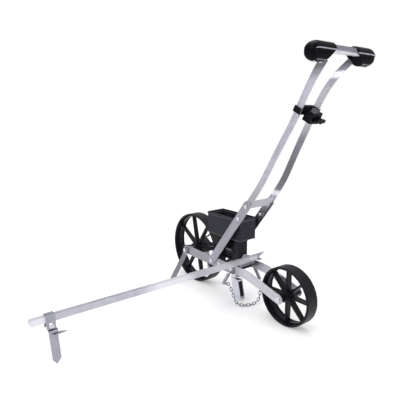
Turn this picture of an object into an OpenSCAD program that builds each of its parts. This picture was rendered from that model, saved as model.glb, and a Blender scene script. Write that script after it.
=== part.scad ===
// Walk-behind garden row seeder: a large front wheel drives a seed plate inside
// the hopper by a belt, an opener cuts the furrow, a chain covers it, and a
// side arm with a blade scratches the next row.
// +X points to the rear (to the operator), +Y to the operator's right, +Z up.
// The origin is on the ground, straight below the front axle.

/* [Wheels] */
// Diameter of the front wheel
front_wheel_d = 304.8; // [295:0.5:308]
// Width of the front wheel
front_wheel_w = 52; // [44:1:52]
// Diameter of the rear wheel
rear_wheel_d = 213; // [205:1:218]
// Width of the rear wheel
rear_wheel_w = 52; // [44:1:58]
// Distance between the two axles
wheelbase = 530; // [525:1:540]
// Number of spokes in each wheel
spoke_count = 8; // [6:1:10]
// Wall of the rims
rim_t = 5; // [4:0.5:7]
// Radius of both axle bolts
axle_r = 5; // [4.5:0.1:5.5]

/* [Frame] */
// Inner face of the side rails, from the middle plane
rail_y = 54; // [54:0.5:56]
// Height of the side rails
rail_h = 38; // [36:1:40]
// Thickness of rails and rear arms
rail_t = 4; // [3.5:0.5:4]
// Rear end of the side rails
rail_end_x = 305; // [302:1:308]
// Drop of the rails towards the rear, in degrees
rail_drop = 0.92; // [0.5:0.1:1.5]
// Height of the rear arms' flat bar
arm_w = 35; // [34:1:37]
// Radius of the bend in the rear arms
arm_bend_r = 350; // [300:10:380]

/* [Handle] */
// Lean of the lower handle bars above the ground, in degrees
handle_angle = 52.43; // [52:0.1:53]
// Width of the lower handle bars
lower_bar_w = 34; // [32:1:35]
// Length of the lower handle bars between end centres
lower_bar_len = 330; // [328:1:335]
// Width of the upper handle bars
upper_bar_w = 24; // [22:1:25]
// Thickness of all handle bars
handle_t = 3.5; // [3:0.5:3.5]
// Outer end of the grips, from the middle plane
grip_end_y = 150; // [146:1:158]
// Inner end of the grips, from the middle plane
grip_start_y = 51; // [48:1:53]

/* [Hopper] */
// Height of the hopper's rim above the ground
hopper_top_z = 345; // [340:1:348]
// Height of the hopper's floor above the ground
hopper_floor_z = 260; // [258:1:262]
// Half width of the hopper
hopper_half_w = 42; // [41:0.5:42]
// Wall of the hopper
hopper_wall = 2.8; // [2.4:0.1:3.2]
// Radius of the seed plate
seed_plate_r = 59; // [56:1:59]
// Seed pockets in the seed plate
seed_pockets = 24; // [12:1:30]

/* [Belt drive] */
// Pitch radius of the pulley on the front wheel
drive_r = 30; // [28:1:32]
// Pitch radius of the pulley on the seed shaft
driven_r = 36; // [34:1:38]
// Thickness of the belt
belt_t = 6; // [5:0.5:6]

/* [Row marker] */
// Outer end of the marker arm, from the middle plane
marker_reach = 816; // [700:1:830]
// Outer width and height of the marker arm's channel
marker_w = 18; // [17:0.5:20]
// Wall of the marker arm's channel
marker_wall = 2; // [1.5:0.1:2.5]
// Place of the marker blade, from the middle plane
blade_y = 762; // [600:1:790]

/* [Opener and chain] */
// Height of the opener's point above the ground
opener_low_z = 2.5; // [2:0.5:5]
// Wall of the opener's folded plate
opener_t = 2; // [1.5:0.1:2.2]
// Half width of the foot of the kickstand
kick_foot_y = 112; // [105:1:118]
// Wire radius of the chain's links
link_wire_r = 1.5; // [1.2:0.1:1.5]

/* [Hidden] */
$fn = 64;

STEEL = "silver";
ZINC = "gainsboro";
BLACK = "#1c1d22";

run_clear = 0.05;      // radial gap where a piece turns on a shaft
bolt_gap = 0.2;        // radial gap of a bolt in a fixed plate
bolt_r = 4;            // frame bolts
head_r = 7.2;          // heads of frame bolts
nut_r = 7.5;           // across the corners of frame nuts
nut_t = 6;
far = 1000;            // longer than any cut needs

front_axle_z = front_wheel_d / 2;
rear_axle_z = rear_wheel_d / 2;
front_axle = [0, front_axle_z];
rear_axle = [wheelbase, rear_axle_z];

arm_y = rail_y - rail_t;
rail_out = rail_y + rail_t;
arm_front_x = 250;
arm_bend_x = 330;
arm_z = front_axle_z - 4.7;
arm_centre = [arm_bend_x, arm_z - arm_bend_r];
arm_to_axle = rear_axle - arm_centre;
arm_reach = norm(arm_to_axle);
arm_turn = atan2(arm_to_axle[0], arm_to_axle[1]) - acos(arm_bend_r / arm_reach);
arm_tail = sqrt(arm_reach * arm_reach - arm_bend_r * arm_bend_r);

// Bolt lines across the frame, in X and Z
handle_foot = [176, 150];
guide_tube = [222, 148];
rear_tube = [292, 147];
arm_bolt = [262, 148];
tube_r = 8;

handle_y = rail_out;
upper_y = handle_y - handle_t;
low_bolt_u = 259.6;
high_bolt_u = 325.2;
handle_dir = [cos(handle_angle), sin(handle_angle)];
function on_handle(u) = handle_foot + u * handle_dir;

// Centre line of an upper handle bar: X, Y, Z
upper_mid_y = upper_y + handle_t / 2;
upper_start = on_handle(235);
upper_bend = on_handle(375);
upper_path = concat([[upper_start[0], upper_mid_y, upper_start[1]]], spline([
    [upper_bend[0], upper_mid_y, upper_bend[1]],
    [447, 54.5, 508], [500, 48, 605], [551, 41.5, 695],
    [581, 41.5, 750], [612, 44.5, 804], [646, 52, 850], [680, 63, 884]
], 3));

grip_low_z = 869;
grip_top_z = 923;
grip_front_x = 669;
grip_rear_x = 713;
grip_mid_x = (grip_front_x + grip_rear_x) / 2;
grip_screw_y = [95, 125];
grip_seam_z = 897;
grip_wall = 3;
crossbar_end_y = 124;

hopper_front_x = 128;
hopper_rear_x = 322.5;
seed_axis = [205, 272];
seed_shaft_r = 5;
seed_plate_y = -37.5;
seed_plate_t = 4;
bush_r = 7.5;
left_bush = [-40.2, -37.6];
base_low_z = 208;
leg_front_x = 282.2;
leg_rear_x = 318;

belt_y = 45;
pulley_y = 43.5;
pulley_w = 9;
front_hub = [-22, 34];

marker_x = 332;
marker_pivot_z = 186;
marker_end_y = 36;
marker_pin_r = 4;
blade_bolt_z = 168;
bracket_screw = [35, 162];

opener_top = [226, 83];
opener_tilt = atan2(22, 81);
opener_half_angle = 13.5;
spout_in = 44;
shank_x = 236;
shank_w = 25;
shank_t = 5;
guide_bolt = [248.5, 145];
guide_bolt_r = 3;
guide_low_z = 124;
guide_top_z = 165;

// Chain: bolts that hang the springs, the springs' lean, and the run between them
chain_anchor = [291, 134];
chain_bolt_r = 2;
spring_y = 65.5;
spring_wire = 1.2;
spring_coil_r = 5.6;
spring_loop_r = 5.6;
loop_wire = 1;
spring_turns = 26;
spring_reach = 13.6 + 2 * spring_turns;
ring_r = 6.4;
link_bend = 4.2;
link_play = 0.6;
end_pitch = 10.7;
left_spring_way = unit([-35, 0, -56]);
right_spring_way = unit([34, 0, -44]);
end_link_way = unit([12, 16, -2]);
left_eye = [chain_anchor[0], -spring_y, chain_anchor[1]] + spring_reach * left_spring_way;
right_eye = [chain_anchor[0], spring_y, chain_anchor[1]] + spring_reach * right_spring_way;
// Where the end link and the ring meet, counted from a spring's loop
joint_in = link_wire_r + link_play / 2;
loop_reach = spring_loop_r - loop_wire;
ring_from = loop_reach + end_pitch;
ring_centre = left_eye + (ring_from - joint_in + ring_r) * end_link_way;
run_way = unit([278, -43, 58] - ring_centre);
run_start = ring_centre + (ring_r - joint_in) * run_way;
last_way = unit([353, 49, 40] - right_eye);
run_end = right_eye + loop_reach * last_way;
chain_path = concat([run_start], spline([
    run_start + 12 * run_way, [293, -47, 40], [306, -48, 22], [319, -46, 10.5], [332, -38, 6.5],
    [343, -23, 6.3], [350, -5, 6.5], [353, 14, 8], [354, 30, 15], [352, 41, 27], run_end + 12 * last_way
], 6), [run_end]);
link_count = 19;
link_pitch = run_length(len(chain_path) - 1) / link_count;
// Planes: each ring or loop lies flat to its normal, and each link stands across it
left_loop_normal = unit(cross(left_spring_way, end_link_way));
ring_normal = unit(cross(run_way, end_link_way));
right_loop_normal = unit(cross(right_spring_way, last_way));
// Twist that each link adds, so that the last one stands across the right spring's loop
free_side = link_side(link_count - 1, 0);
free_way = link_way(link_count - 1);
miss = atan2(right_loop_normal * cross(free_way, free_side), right_loop_normal * free_side);
link_twist = ((miss + 270) % 180 - 90) / (link_count - 1);

rack_origin = [573, 735];
rack_angle = 62;
rack_bar_y = 44.4;
rack_knob = [-1, 13];

// Stand: inner face of its tabs
kick_tab_y = rail_out + handle_t + 0.5;

// Cross section of the bar between the grips, in X and Z
crossbar_outline = [[695, 894], [708, 894], [708, 907], [704, 916], [695, 916]];

// ---------- sums used by several parts ----------

function unit(v) = v / norm(v);

// Points along a smooth curve through a list of points.
function spline(p, steps) = [
    for (i = [0 : len(p) - 2]) for (k = [0 : steps - 1])
        let (t = k / steps, a = p[max(i - 1, 0)], b = p[i], c = p[i + 1],
            d = p[min(i + 2, len(p) - 1)])
        b + t / 2 * (c - a + t * (2 * a - 5 * b + 4 * c - d + t * (3 * (b - c) + d - a))),
    p[len(p) - 1]
];

// Length of the chain's path up to point i.
function run_length(i) = i == 0 ? 0 : run_length(i - 1) + norm(chain_path[i] - chain_path[i - 1]);

// The point at length s along the chain's path.
function leg_at(s, i = 1) = i >= len(chain_path) - 1 || s <= run_length(i) ? i : leg_at(s, i + 1);
function chain_point(s) =
    let (i = leg_at(s), a = chain_path[i - 1], b = chain_path[i])
    a + (b - a) * (s - run_length(i - 1)) / norm(b - a);

// Turn about the way d that brings local X of aim() onto m.
function roll(d, m) = let (x = unit([d[2], 0, -d[0]])) atan2(m * cross(d, x), m * x);

// Direction of link i of the run, and the direction across it in its own plane.
function link_way(i) = unit(chain_point((i + 1) * link_pitch) - chain_point(i * link_pitch));
function link_side(i, twist) = i == 0 ? ring_normal
    : let (way = link_way(i), side = unit(cross(way, link_side(i - 1, twist))))
        side * cos(twist) + cross(way, side) * sin(twist);

// One edge of a strip of a given half width along a list of points.
function strip_edge(p, half) = [
    for (i = [0 : len(p) - 1])
        let (d = unit(p[min(i + 1, len(p) - 1)] - p[max(i - 1, 0)])) p[i] + half * [-d[1], d[0]]
];
function back(list) = [for (i = [len(list) - 1 : -1 : 0]) list[i]];

// ---------- shared shapes ----------

// Extrudes an outline drawn in X and Z from y_low over a thickness.
module plate_xz(y_low, t) {
    translate([0, y_low + t, 0]) rotate([90, 0, 0]) linear_extrude(t) children();
}

// Extrudes an outline drawn in Y and Z from x_low over a thickness.
module plate_yz(x_low, t) {
    translate([x_low, 0, 0]) rotate([90, 0, 90]) linear_extrude(t) children();
}

// Extrudes an outline drawn in X and Y from z_low over a thickness.
module plate_xy(z_low, t) {
    translate([0, 0, z_low]) linear_extrude(t) children();
}

// A cylinder along Y at a point given in X and Z.
module rod_y(r, y_low, y_high, at) {
    translate([at[0], y_high, at[1]]) rotate([90, 0, 0]) cylinder(r = r, h = y_high - y_low);
}

// A hexagonal prism along Y at a point given in X and Z.
module hex_y(r, y_low, y_high, at) {
    translate([at[0], y_high, at[1]]) rotate([90, 0, 0])
        cylinder(r = r, h = y_high - y_low, $fn = 6);
}

// A ring along Y.
module ring_y(r_out, r_in, y_low, y_high, at) {
    difference() {
        rod_y(r_out, y_low, y_high, at);
        rod_y(r_in, y_low - 1, y_high + 1, at);
    }
}

// Mirrors to the left side when side is -1.
module on_side(side) {
    if (side < 0) mirror([0, 1, 0]) children();
    else children();
}

// A rectangle with round corners, from its low corner.
module round_rect(low, size, r) {
    translate([low[0] + r, low[1]]) square([size[0] - 2 * r, size[1]]);
    translate([low[0], low[1] + r]) square([size[0], size[1] - 2 * r]);
    for (x = [low[0] + r, low[0] + size[0] - r])
        for (y = [low[1] + r, low[1] + size[1] - r])
            translate([x, y]) circle(r);
}

// Moves Z onto the direction from a to b, keeping local X in the XZ plane.
module aim(a, b) {
    d = b - a;
    flat = sqrt(d[0] * d[0] + d[2] * d[2]);
    translate(a) rotate([0, atan2(d[0], d[2]), 0]) rotate([-atan2(d[1], flat), 0, 0]) children();
}

// One straight length of flat bar between two points.
module bar_piece(a, b, w, t) {
    aim(a, b) translate([-w / 2, -t / 2, 0]) cube([w, t, norm(b - a)]);
}

// A wing nut whose axis is Z, sitting on z = 0, with two wings along X.
module wing_nut(bore) {
    difference() {
        union() {
            cylinder(r1 = 6, r2 = 4.6, h = 7);
            for (s = [-1, 1]) translate([s * 7.5, 1.2, 7.5]) rotate([90, 0, 0])
                cylinder(r = 5, h = 2.4);
        }
        translate([0, 0, -1]) cylinder(r = bore, h = 16);
    }
}

// ---------- frame ----------

// Side outline of a rail, with its bolt holes.
module rail_outline() {
    difference() {
        translate(front_axle) rotate(-rail_drop) {
            circle(rail_h / 2);
            translate([0, -rail_h / 2]) square([rail_end_x, rail_h]);
        }
        translate(front_axle) circle(axle_r + bolt_gap);
        for (p = [handle_foot, guide_tube, rear_tube, arm_bolt])
            translate(p) circle(bolt_r + bolt_gap);
        translate(chain_anchor) circle(chain_bolt_r + bolt_gap);
    }
}

module frame_rail(side) {
    color(STEEL) on_side(side) plate_xz(rail_y, rail_t) rail_outline();
}

module left_frame_rail() { frame_rail(-1); }
module right_frame_rail() { frame_rail(1); }

// Side outline of a rear arm: straight, then a bend, then straight to the axle.
module arm_outline() {
    difference() {
        union() {
            translate([arm_front_x, arm_z - arm_w / 2])
                square([arm_bend_x - arm_front_x, arm_w]);
            translate(arm_centre) intersection() {
                difference() {
                    circle(arm_bend_r + arm_w / 2, $fn = 128);
                    circle(arm_bend_r - arm_w / 2, $fn = 128);
                }
                polygon([[0, 0], [0, far], [far * tan(arm_turn), far]]);
            }
            translate(arm_centre) rotate(-arm_turn) translate([0, arm_bend_r - arm_w / 2])
                square([arm_tail, arm_w]);
            translate(rear_axle) circle(arm_w / 2);
        }
        translate(rear_axle) circle(axle_r + bolt_gap);
        for (p = [rear_tube, arm_bolt]) translate(p) circle(bolt_r + bolt_gap);
        translate(chain_anchor) circle(chain_bolt_r + bolt_gap);
    }
}

module rear_arm(side) {
    color(STEEL) on_side(side) plate_xz(arm_y, rail_t) arm_outline();
}

module left_rear_arm() { rear_arm(-1); }
module right_rear_arm() { rear_arm(1); }

module frame_spacer_tubes() {
    color(ZINC) {
        for (p = [handle_foot, guide_tube])
            ring_y(tube_r, bolt_r + bolt_gap, -rail_y, rail_y, p);
        ring_y(tube_r, bolt_r + bolt_gap, -arm_y, arm_y, rear_tube);
    }
}

// Long bolts across the frame, heads on the left, nuts on the right.
module frame_bolts() {
    color(ZINC) for (at = [handle_foot, guide_tube, rear_tube]) {
        out = at == handle_foot ? rail_out + handle_t : rail_out;
        rod_y(bolt_r, -out - 1, out + nut_t + 3, at);
        rod_y(head_r, -out - 3, -out, at);
    }
}

// Short bolts that join each rail to its rear arm.
module arm_bolts() {
    color(ZINC) for (side = [-1, 1]) on_side(side) {
        rod_y(bolt_r, arm_y - nut_t - 2, rail_out + 1, arm_bolt);
        rod_y(head_r, rail_out, rail_out + 3, arm_bolt);
    }
}

module handle_bolts() {
    color(ZINC) for (side = [-1, 1]) on_side(side) for (u = [low_bolt_u, high_bolt_u]) {
        out = handle_y + handle_t;
        rod_y(bolt_r, upper_y - 3 - nut_t - 2, out + 1, on_handle(u));
        rod_y(head_r, out, out + 3, on_handle(u));
    }
}

// A frame nut between two Y planes.
module frame_nut(y_low, at) {
    difference() {
        hex_y(nut_r, y_low, y_low + nut_t, at);
        rod_y(bolt_r + 0.02, y_low - 1, y_low + nut_t + 1, at);
    }
}

module frame_nuts() {
    color(ZINC) {
        frame_nut(rail_out + handle_t, handle_foot);
        frame_nut(rail_out, guide_tube);
        frame_nut(rail_out, rear_tube);
        for (side = [-1, 1]) on_side(side) {
            frame_nut(arm_y - nut_t, arm_bolt);
            frame_nut(upper_y - nut_t, on_handle(low_bolt_u));
            frame_nut(upper_y - 3 - nut_t, on_handle(high_bolt_u));
        }
    }
}

// ---------- handle ----------

module lower_handle(side) {
    color(STEEL) on_side(side) plate_xz(handle_y, handle_t) difference() {
        translate(handle_foot) rotate(handle_angle) {
            translate([0, -lower_bar_w / 2]) square([lower_bar_len, lower_bar_w]);
            for (u = [0, lower_bar_len]) translate([u, 0]) circle(lower_bar_w / 2);
        }
        for (u = [0, low_bolt_u, high_bolt_u]) translate(on_handle(u)) circle(bolt_r + bolt_gap);
    }
}

module left_lower_handle() { lower_handle(-1); }
module right_lower_handle() { lower_handle(1); }

// Flat bar bent both ways: its side view cut by its rear view.
module upper_handle(side) {
    side_line = [for (p = upper_path) [p[0], p[2]]];
    top = upper_path[len(upper_path) - 1];
    rear_line = concat([upper_path[0] - [0, 0, 50]], upper_path, [top + [0, 6, 20]]);
    color(STEEL) on_side(side) difference() {
        intersection() {
            plate_xz(0, 100) polygon(concat(strip_edge(side_line, upper_bar_w / 2),
                back(strip_edge(side_line, -upper_bar_w / 2))));
            plate_yz(0, far) polygon(concat([for (p = rear_line) [p[1] - handle_t / 2, p[2]]],
                back([for (p = rear_line) [p[1] + handle_t / 2, p[2]]])));
        }
        for (u = [low_bolt_u, high_bolt_u])
            rod_y(bolt_r + bolt_gap, upper_y - 1, handle_y + 1, on_handle(u));
    }
}

module left_upper_handle() { upper_handle(-1); }
module right_upper_handle() { upper_handle(1); }

// U-shaped brace between the handle bars: a web across and a tab on each bar.
module handle_brace() {
    tab_y = upper_y - 3;
    web_u = 326;
    web_w = -11;
    color(STEEL) difference() {
        translate([handle_foot[0], 0, handle_foot[1]]) rotate([0, -handle_angle, 0]) {
            translate([web_u, -tab_y, web_w]) cube([38, 2 * tab_y, 3]);
            for (side = [-1, 1]) on_side(side)
                translate([web_u - 17, tab_y, web_w]) cube([55, 3, 21]);
        }
        rod_y(bolt_r + bolt_gap, -far, far, on_handle(high_bolt_u));
    }
}

module handle_crossbar() {
    color(STEEL) plate_xz(-crossbar_end_y, 2 * crossbar_end_y) polygon(crossbar_outline);
}

// The right grip's outer form, shrunk all round by an inset.
module grip_form(inset) {
    size_y = grip_end_y - grip_start_y;
    size_z = grip_top_z - grip_low_z;
    size_x = grip_rear_x - grip_front_x;
    intersection() {
        plate_yz(grip_front_x + inset, size_x - 2 * inset) difference() {
            union() {
                translate([grip_end_y - size_z / 2, grip_low_z + size_z / 2])
                    circle(size_z / 2 - inset);
                translate([grip_start_y + inset, grip_low_z + inset])
                    square([size_y - size_z / 2 - inset, size_z - 2 * inset]);
            }
            polygon([[0, 0], [grip_start_y + 38, 0], [grip_start_y + 38, grip_low_z + inset],
                [grip_start_y + inset, 901 + inset], [0, 901 + inset]]);
        }
        plate_xz(0, grip_end_y) round_rect([grip_front_x + inset, grip_low_z + inset],
            [size_x - 2 * inset, size_z - 2 * inset], 13 - inset);
    }
}

// One half of a grip's shell, between two heights, open for the bars inside.
module grip_shell(side, z_low, z_high) {
    color(BLACK) on_side(side) difference() {
        intersection() {
            grip_form(0);
            translate([600, 0, z_low]) cube([150, 200, z_high - z_low]);
        }
        grip_form(grip_wall);
        translate([694, 0, 893]) cube([15, 80, 25]);
        translate([650, 54, 850]) cube([48, 26, 44.5]);
        for (y = grip_screw_y) translate([grip_mid_x, y, 850]) cylinder(r = 2.2, h = 60);
    }
}

module left_grip_upper() { grip_shell(-1, grip_seam_z + 0.15, 950); }
module left_grip_lower() { grip_shell(-1, 850, grip_seam_z - 0.15); }
module right_grip_upper() { grip_shell(1, grip_seam_z + 0.15, 950); }
module right_grip_lower() { grip_shell(1, 850, grip_seam_z - 0.15); }

module grip_screws() {
    color(ZINC) for (side = [-1, 1]) on_side(side) for (y = grip_screw_y) {
        translate([grip_mid_x, y, grip_low_z - 1]) cylinder(r = 2, h = 26);
        translate([grip_mid_x, y, grip_low_z - 2.2]) cylinder(r1 = 3, r2 = 4, h = 2.2);
    }
}

// ---------- hopper and seed drive ----------

// Side outline of the hopper box: its front wall leans out a little.
module hopper_side() {
    polygon([[hopper_front_x, hopper_top_z], [hopper_rear_x, hopper_top_z],
        [hopper_rear_x, hopper_floor_z], [hopper_front_x + 7, hopper_floor_z]]);
}

module hopper() {
    long = hopper_rear_x - hopper_front_x;
    lip_h = 8;
    lip_out = 1.5;
    color(BLACK) difference() {
        union() {
            intersection() {
                translate([0, 0, hopper_floor_z]) linear_extrude(hopper_top_z - hopper_floor_z)
                    round_rect([hopper_front_x, -hopper_half_w], [long, 2 * hopper_half_w], 5);
                plate_xz(-60, 120) hopper_side();
            }
            plate_xy(hopper_top_z - lip_h, lip_h) round_rect([hopper_front_x - lip_out,
                -hopper_half_w - lip_out], [long + lip_out, 2 * (hopper_half_w + lip_out)], 6);
            plate_xy(hopper_floor_z, 3) round_rect([hopper_front_x + 7, -hopper_half_w - lip_out],
                [long - 7, 2 * (hopper_half_w + lip_out)], 6);
        }
        intersection() {
            translate([0, 0, hopper_floor_z + hopper_wall]) linear_extrude(200)
                round_rect([hopper_front_x + hopper_wall, hopper_wall - hopper_half_w],
                    [long - 2 * hopper_wall, 2 * (hopper_half_w - hopper_wall)], 3);
            plate_xz(-60, 120) translate([hopper_wall + 0.4, 0]) polygon([
                [hopper_front_x, hopper_top_z + 50], [hopper_rear_x, hopper_top_z + 50],
                [hopper_rear_x, hopper_floor_z], [hopper_front_x + 7, hopper_floor_z],
                [hopper_front_x, hopper_top_z]]);
        }
        // slot in the floor where the seed plate dips into its housing
        translate([seed_axis[0] - 62, -39, hopper_floor_z - 5]) cube([124, 9, 12]);
        // seats of the shaft bushes, blind on the left
        rod_y(bush_r, left_bush[0], left_bush[1], seed_axis);
        rod_y(bush_r, 0, 60, seed_axis);
        // screws into the base
        at_hopper_screws() translate([0, 0, -5]) cylinder(r = 2.2, h = 12);
    }
}

// Puts a shape on the hopper's floor at each of its screws.
module at_hopper_screws() {
    for (x = [160, 285]) for (y = [-18, 6]) translate([x, y, hopper_floor_z]) children();
}

module hopper_screws() {
    color(ZINC) at_hopper_screws() {
        translate([0, 0, -10]) cylinder(r = 2, h = 10 + hopper_wall);
        translate([0, 0, hopper_wall]) cylinder(r1 = 4, r2 = 3, h = 2);
    }
}

// Housing below the hopper: seed-plate pocket, body, a ribbed tray and two legs
// that sit on the frame's tubes.
module hopper_base() {
    body_low_z = 212;
    tray = [184, -30, 172];
    leg_y = -44;
    color(BLACK) difference() {
        union() {
            // seed-plate pocket
            intersection() {
                rod_y(64, -41, -27, seed_axis);
                translate([100, -60, 150]) cube([300, 120, hopper_floor_z - 150]);
            }
            // body, and the block round the seed passage
            translate([152, -30, body_low_z]) cube([150, 42, hopper_floor_z - body_low_z]);
            translate([262, -30, base_low_z - 4]) cube([40, 42, 20]);
            // rear corner post
            translate([300, leg_y, 206]) cube([leg_rear_x - 300, 46, hopper_floor_z - 206]);
            translate([297, leg_y + 8, 222]) cylinder(r = 7, h = hopper_floor_z - 222);
            // rear leg, wide where it sits on the tube
            translate([286, leg_y, 170]) cube([leg_rear_x - 286, 46, 40]);
            plate_xz(leg_y, -2 * leg_y) polygon([[leg_front_x, 178], [leg_rear_x, 178],
                [leg_rear_x, 152], [304, 149], [302, 136], [leg_front_x, 136]]);
            // front leg
            translate([166, -20, 138]) cube([20, 28, 80]);
            translate(tray) cube([110, 44, 14]);
        }
        // pockets in the tray's near edge and top
        for (i = [0 : 5]) translate(tray + [6 + 16 * i, -1, 2.5]) cube([12, 5, 9]);
        for (i = [0 : 4]) translate(tray + [8 + 20 * i, 8, 8]) cube([12, 10, 7]);
        rod_y(tube_r + 0.1, -60, 60, handle_foot);
        rod_y(tube_r + 0.1, -60, 60, rear_tube);
        // pocket of the seed plate
        rod_y(61.5, -39, -30, seed_axis);
        // seed passage from the pocket to the chute
        rod_y(5.2, -30.5, -6, [243, 234]);
        translate([238, -12, 229]) cube([41, 12, 10]);
        translate([266, -5, 150]) cube([13, 10, 80]);
        // room for the opener's guide and shank, and for the seed chute
        translate([231.5, -7, 120]) cube([34, 14, 96]);
        translate([265.4, -7.2, 120]) cube([16.6, 14.4, base_low_z - 4 - 120]);
        // room for the marker's pivot nut
        translate([310, 0, marker_pivot_z]) rotate([0, 90, 0]) cylinder(r = 9, h = 20);
        at_hopper_screws() translate([0, 0, -14]) cylinder(r = 2.1, h = 20);
        for (y = [-bracket_screw[0], bracket_screw[0]])
            translate([leg_rear_x - 10, y, bracket_screw[1]]) rotate([0, 90, 0])
                cylinder(r = 2.1, h = 20);
    }
}

// Square tube that drops the seed into the opener.
module seed_chute() {
    color(BLACK) difference() {
        translate([265.6, -7, 98]) cube([16, 14, base_low_z - 4 - 98]);
        translate([268, -4.8, 90]) cube([11.2, 9.6, 130]);
    }
}

module seed_plate() {
    color("dimgray") difference() {
        rod_y(seed_plate_r, seed_plate_y, seed_plate_y + seed_plate_t, seed_axis);
        rod_y(seed_shaft_r + 0.02, -60, 0, seed_axis);
        for (i = [0 : seed_pockets - 1]) {
            a = 360 * i / seed_pockets;
            rod_y(2.2, seed_plate_y - 1, seed_plate_y + 2.5,
                seed_axis + (seed_plate_r - 5) * [cos(a), sin(a)]);
        }
    }
}

module seed_plate_shaft() {
    color(ZINC) rod_y(seed_shaft_r, left_bush[0] + 0.1, pulley_y + pulley_w + 0.4, seed_axis);
}

module shaft_bushes() {
    color("dimgray") for (y = [left_bush, [hopper_half_w - hopper_wall, hopper_half_w]])
        ring_y(bush_r, seed_shaft_r + run_clear, y[0], y[1], seed_axis);
}

// Grooved pulley along Y; the belt's inner face lies on the groove.
module pulley(pitch_r, at, bore) {
    floor_r = pitch_r - belt_t / 2;
    difference() {
        union() {
            rod_y(floor_r, pulley_y, pulley_y + pulley_w, at);
            for (y = [pulley_y, pulley_y + pulley_w - 1.4])
                rod_y(floor_r + belt_t + 1, y, y + 1.4, at);
        }
        rod_y(bore, 0, 70, at);
    }
}

module driven_pulley() {
    color(BLACK) pulley(driven_r, seed_axis, seed_shaft_r + 0.02);
}

module drive_pulley() {
    color(BLACK) difference() {
        union() {
            pulley(drive_r, front_axle, axle_r + run_clear);
            rod_y(14, front_hub[1], pulley_y, front_axle);
        }
        rod_y(axle_r + run_clear, 0, 70, front_axle);
    }
}

// Outline of a belt loop around both pulleys, grown by a step.
module belt_loop(grow) {
    across = seed_axis - front_axle;
    apart = norm(across);
    lean = asin((driven_r - drive_r) / apart);
    translate(front_axle) rotate(atan2(across[1], across[0])) {
        circle(drive_r + grow);
        translate([apart, 0]) circle(driven_r + grow);
        polygon([for (e = [[0, drive_r, 1], [apart, driven_r, 1], [apart, driven_r, -1], [0, drive_r, -1]])
            [e[0] - (e[1] + grow) * sin(lean), e[2] * (e[1] + grow) * cos(lean)]]);
    }
}

module drive_belt() {
    color("#101010") plate_xz(belt_y, belt_t) difference() {
        belt_loop(belt_t / 2);
        belt_loop(-belt_t / 2 + 0.06);
    }
}

// ---------- wheels ----------

// A moulded wheel about Y: crowned rim with inner ribs, spokes and a hub.
module spoked_wheel(d, w, hub_r, hub_y, rib_w, spoke_w) {
    r = d / 2;
    inner = r - rim_t;
    rotate([90, 0, 0]) difference() {
        union() {
            rotate_extrude($fn = 128) {
                polygon([[inner, -w / 2], [r - 2.5, -w / 2], [r, -w / 2 + 3], [r, w / 2 - 3],
                    [r - 2.5, w / 2], [inner, w / 2]]);
                translate([inner - 6, -rib_w / 2]) square([7, rib_w]);
                for (z = [-w / 2, rib_w / 2 + 2, w / 2 - 2, -rib_w / 2 - 4])
                    translate([inner - 2.5, z]) square([3.5, 2]);
            }
            cylinder(r = hub_r, h = 2 * hub_y, center = true);
            for (i = [0 : spoke_count - 1]) rotate(360 * i / spoke_count + 90)
                translate([0, 0, -spoke_w / 2]) linear_extrude(spoke_w)
                    polygon([[hub_r / 2, -5.5], [inner - 3, -3], [inner - 3, 3], [hub_r / 2, 5.5]]);
        }
        cylinder(r = axle_r + run_clear, h = far, center = true);
    }
}

module front_wheel() {
    middle = (front_hub[0] + front_hub[1]) / 2;
    color(BLACK) translate([0, middle, front_axle_z]) rotate([0, -12, 0])
        spoked_wheel(front_wheel_d, front_wheel_w, 20, front_hub[1] - middle, 14, 18);
}

module rear_wheel() {
    color(BLACK) translate([wheelbase, 0, rear_axle_z])
        spoked_wheel(rear_wheel_d, rear_wheel_w, 17, 30, 14, 21);
}

module front_axle_bolt() {
    end = kick_tab_y + 3;
    color(ZINC) {
        rod_y(axle_r, -end - 1, end + 10, front_axle);
        hex_y(9, -end - 6, -end, front_axle);
    }
}

module front_axle_nut() {
    end = kick_tab_y + 3;
    color(ZINC) difference() {
        hex_y(9, end, end + 7, front_axle);
        rod_y(axle_r + 0.02, end - 1, end + 9, front_axle);
    }
}

module front_axle_spacers() {
    color(ZINC) {
        ring_y(9, axle_r + bolt_gap, -rail_y, front_hub[0] - 0.1, front_axle);
        ring_y(9, axle_r + bolt_gap, pulley_y + pulley_w + 0.1, rail_y, front_axle);
    }
}

module kickstand_washers() {
    color(ZINC) for (side = [-1, 1]) on_side(side)
        ring_y(11, axle_r + bolt_gap, rail_out, kick_tab_y - 0.05, front_axle);
}

module rear_axle_bolt() {
    color(ZINC) {
        rod_y(axle_r, -rail_y - 1, rail_y + 10, rear_axle);
        rod_y(9, -rail_y - 4, -rail_y, rear_axle);
    }
}

module rear_axle_nut() {
    color(ZINC) difference() {
        hex_y(9, rail_y, rail_y + 7, rear_axle);
        rod_y(axle_r + 0.02, rail_y - 1, rail_y + 9, rear_axle);
    }
}

module rear_axle_spacers() {
    color(BLACK) for (side = [-1, 1]) on_side(side)
        ring_y(10, axle_r + bolt_gap, 30.1, arm_y, rear_axle);
}

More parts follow.
